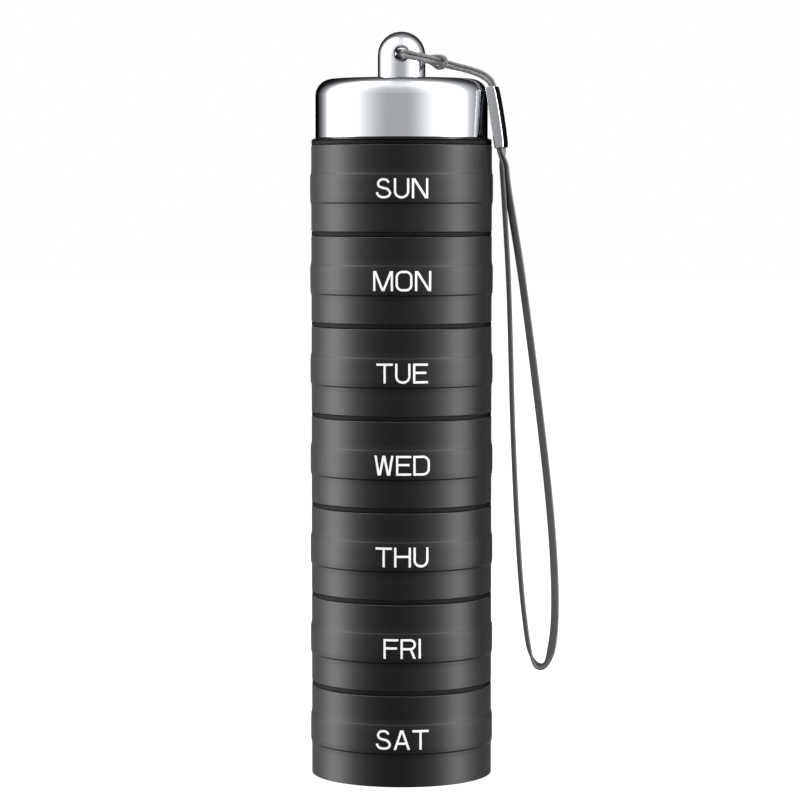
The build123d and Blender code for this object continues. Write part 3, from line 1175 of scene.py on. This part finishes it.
def build_cups():
    """Seven cups with their seals, threads and day marks."""
    middle = base_extra + cup_height / 2
    sat = turned("turned_cup_sat", base_cup_section())
    dressed(sat, "base", "cup", anodised, "cup_sat")
    dressed(day_mark("sat", middle), "base", None, ink)
    spigot, mouth = thread_meshes(thread_tree(), anodised)
    dressed(placed_copy(mouth, "mouth_thread_sat", base_rim), "base", "cup", anodised)
    for day in upper_cups:
        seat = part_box("seal_" + day)[1].z
        cup = turned("turned_cup_" + day, upper_cup_section(), base=seat)
        dressed(cup, day, "cup", anodised, "cup_" + day)
        dressed(day_mark(day, seat + cup_height / 2), day, None, ink)
        dressed(placed_copy(spigot, "spigot_thread_" + day, seat), day, "cup", anodised)
        dressed(placed_copy(mouth, "mouth_thread_" + day, seat + cup_height), day, "cup", anodised)
    dressed(placed_copy(spigot, "spigot_thread_cap", cap_bottom), "cap", "plug", black)
    for day in upper_cups + ["cap"]:
        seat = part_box("seal_" + day)[1].z
        ring = turned("rubber_seal_" + day, seal_section(), closed=True, base=seat)
        dressed(ring, "ring_" + day, "seal", rubber, "seal_" + day)
    bpy.data.objects.remove(spigot)
    bpy.data.objects.remove(mouth)


def build_cap():
    """The plug, the bright shell and the post."""
    plug = turned("black_plug", plug_section(), base=cap_bottom)
    dressed(plug, "cap", "plug", black, "cap_plug")
    shell = turned("bright_shell", shell_section(), closed=True)
    dressed(shell, "cap", "bright_cap", bright, "cap_shell")
    dressed(lanyard_post(), "cap", "bright_cap", bright, "lanyard_post")


def build_strap():
    """The hitch cord, the clip and the ribbon loop."""
    clip = dressed(folded_clip(), "cap", "clip", sheet_metal, "crimp_clip")
    cord_line = curve_points("cord_line", cord_route(), cord_steps)
    cord = dressed(twisted_cord(cord_line), "cap", "cord", cord_finish, "hitch_cord")
    strap_line = curve_points("strap_line", strap_route(), strap_steps)
    strap = dressed(woven_strap(strap_line), "cap", "ribbon", ribbon_finish, "wrist_strap")


def studio_world():
    """Two tall soft boxes, a dim front fill, a soft top light and a dark back. The camera sees white."""
    world = bpy.data.worlds.new("studio")
    world.use_nodes = True
    bpy.context.scene.world = world
    tree = world.node_tree
    tree.nodes.clear()
    way = add(tree, "TexCoord").outputs["Generated"]
    parts = add(tree, "SeparateXYZ", {0: way}).outputs
    front = product(tree, parts["Y"], -1.0)
    azimuth = calc(tree, "DEGREES", calc(tree, "ARCTAN2", parts["X"], front))
    height = calc(tree, "DEGREES", calc(tree, "ARCSINE", parts["Z"]))

    def between(value, *edges):
        """Bright where the value is inside every edge."""
        return product(tree, *(soft_step(tree, value, *edge) for edge in edges))

    fill = product(tree, between(height, fill_foot, fill_head), fill_level)
    foot = between(height, box_foot, box_head)
    boxes = box_level
    for middle, spread, strength in box_cores:
        core = bell(tree, calc(tree, "SUBTRACT", azimuth, middle), spread)
        boxes = calc(tree, "ADD", boxes, product(tree, core, strength))
    plain = ramp(tree, foot, -box_level, fill)
    valley = between(azimuth, valley_left, valley_right)
    level = ramp(tree, valley, plain, product(tree, boxes, foot))
    sides = product(tree, level, between(azimuth, left_edge, right_edge))
    behind = product(tree, soft_step(tree, calc(tree, "ABSOLUTE", azimuth), *back_edge), back_level)
    sides = ramp(tree, behind, between(height, back_head, back_foot), sides)
    up = math.radians(top_height)
    towards_top = {0: way, 1: (0.0, -math.cos(up), math.sin(up))}
    facing = add(tree, "VectorMath", towards_top, operation="DOT_PRODUCT").outputs["Value"]
    top = bell(tree, calc(tree, "DEGREES", calc(tree, "ARCCOSINE", facing)), top_spread)
    light = calc(tree, "ADD", sides, product(tree, top, top_level))
    colour = put(tree, "CombineColor", {"Red": light, "Green": light, "Blue": light})
    studio = put(tree, "Background", {"Color": colour})
    white = put(tree, "Background", {"Color": (1, 1, 1, 1)})
    camera_ray = add(tree, "LightPath").outputs["Is Camera Ray"]
    both = put(tree, "MixShader", {0: camera_ray, 1: studio, 2: white})
    add(tree, "OutputWorld", {"Surface": both})


def pale_floor():
    """A plain pale floor that keeps a soft contact shadow."""
    corners = [(x * floor_half, y * floor_half, 0) for x, y in ((-1, -1), (1, -1), (1, 1), (-1, 1))]
    floor = tidy_mesh("pale_floor", corners, [(0, 1, 2, 3)])
    floor.visible_glossy = False
    material = bpy.data.materials.new("pale_floor")
    material.use_nodes = True
    tree = material.node_tree
    tree.nodes.clear()
    matt = put(tree, "BsdfDiffuse", {"Color": (floor_grey, floor_grey, floor_grey, 1)})
    camera_ray = add(tree, "LightPath").outputs["Is Camera Ray"]
    seen = {"Color": (1, 1, 1, 1), "Strength": product(tree, camera_ray, floor_glow)}
    glow = put(tree, "Emission", seen)
    both = put(tree, "AddShader", {0: matt, 1: glow})
    add(tree, "OutputMaterial", {"Surface": both})
    floor.data.materials.append(material)


def set_camera():
    """The photograph's viewing angle: in front, near the top, looking slightly down."""
    camera = placed("camera", bpy.data.cameras.new("camera"))
    camera.data.sensor_fit = "HORIZONTAL"
    camera.data.sensor_width = 36.0
    camera.data.lens = camera_lens
    camera.data.clip_start = 0.01
    camera.data.clip_end = 50.0
    camera.location = camera_place
    camera.rotation_euler = (math.radians(90 - camera_tilt), 0, 0)
    bpy.context.scene.camera = camera


tool_marks = tool_marks_group()
handling = handling_group()
edge_wear_highlight = edge_wear_highlight_group()
grain = grain_group()
weave = weave_group()

anodised = black_anodised()
rubber = black_rubber()
black = smooth_black()
bright = bright_plate()
sheet_metal = plated_sheet()
cord_finish = grey_cord()
ribbon_finish = grey_ribbon()
ink = white_ink()

pen_letters = letters()

set_camera()
build_strap()
build_cups()
build_cap()
studio_world()
pale_floor()
bpy.context.scene.view_settings.view_transform = "Standard"
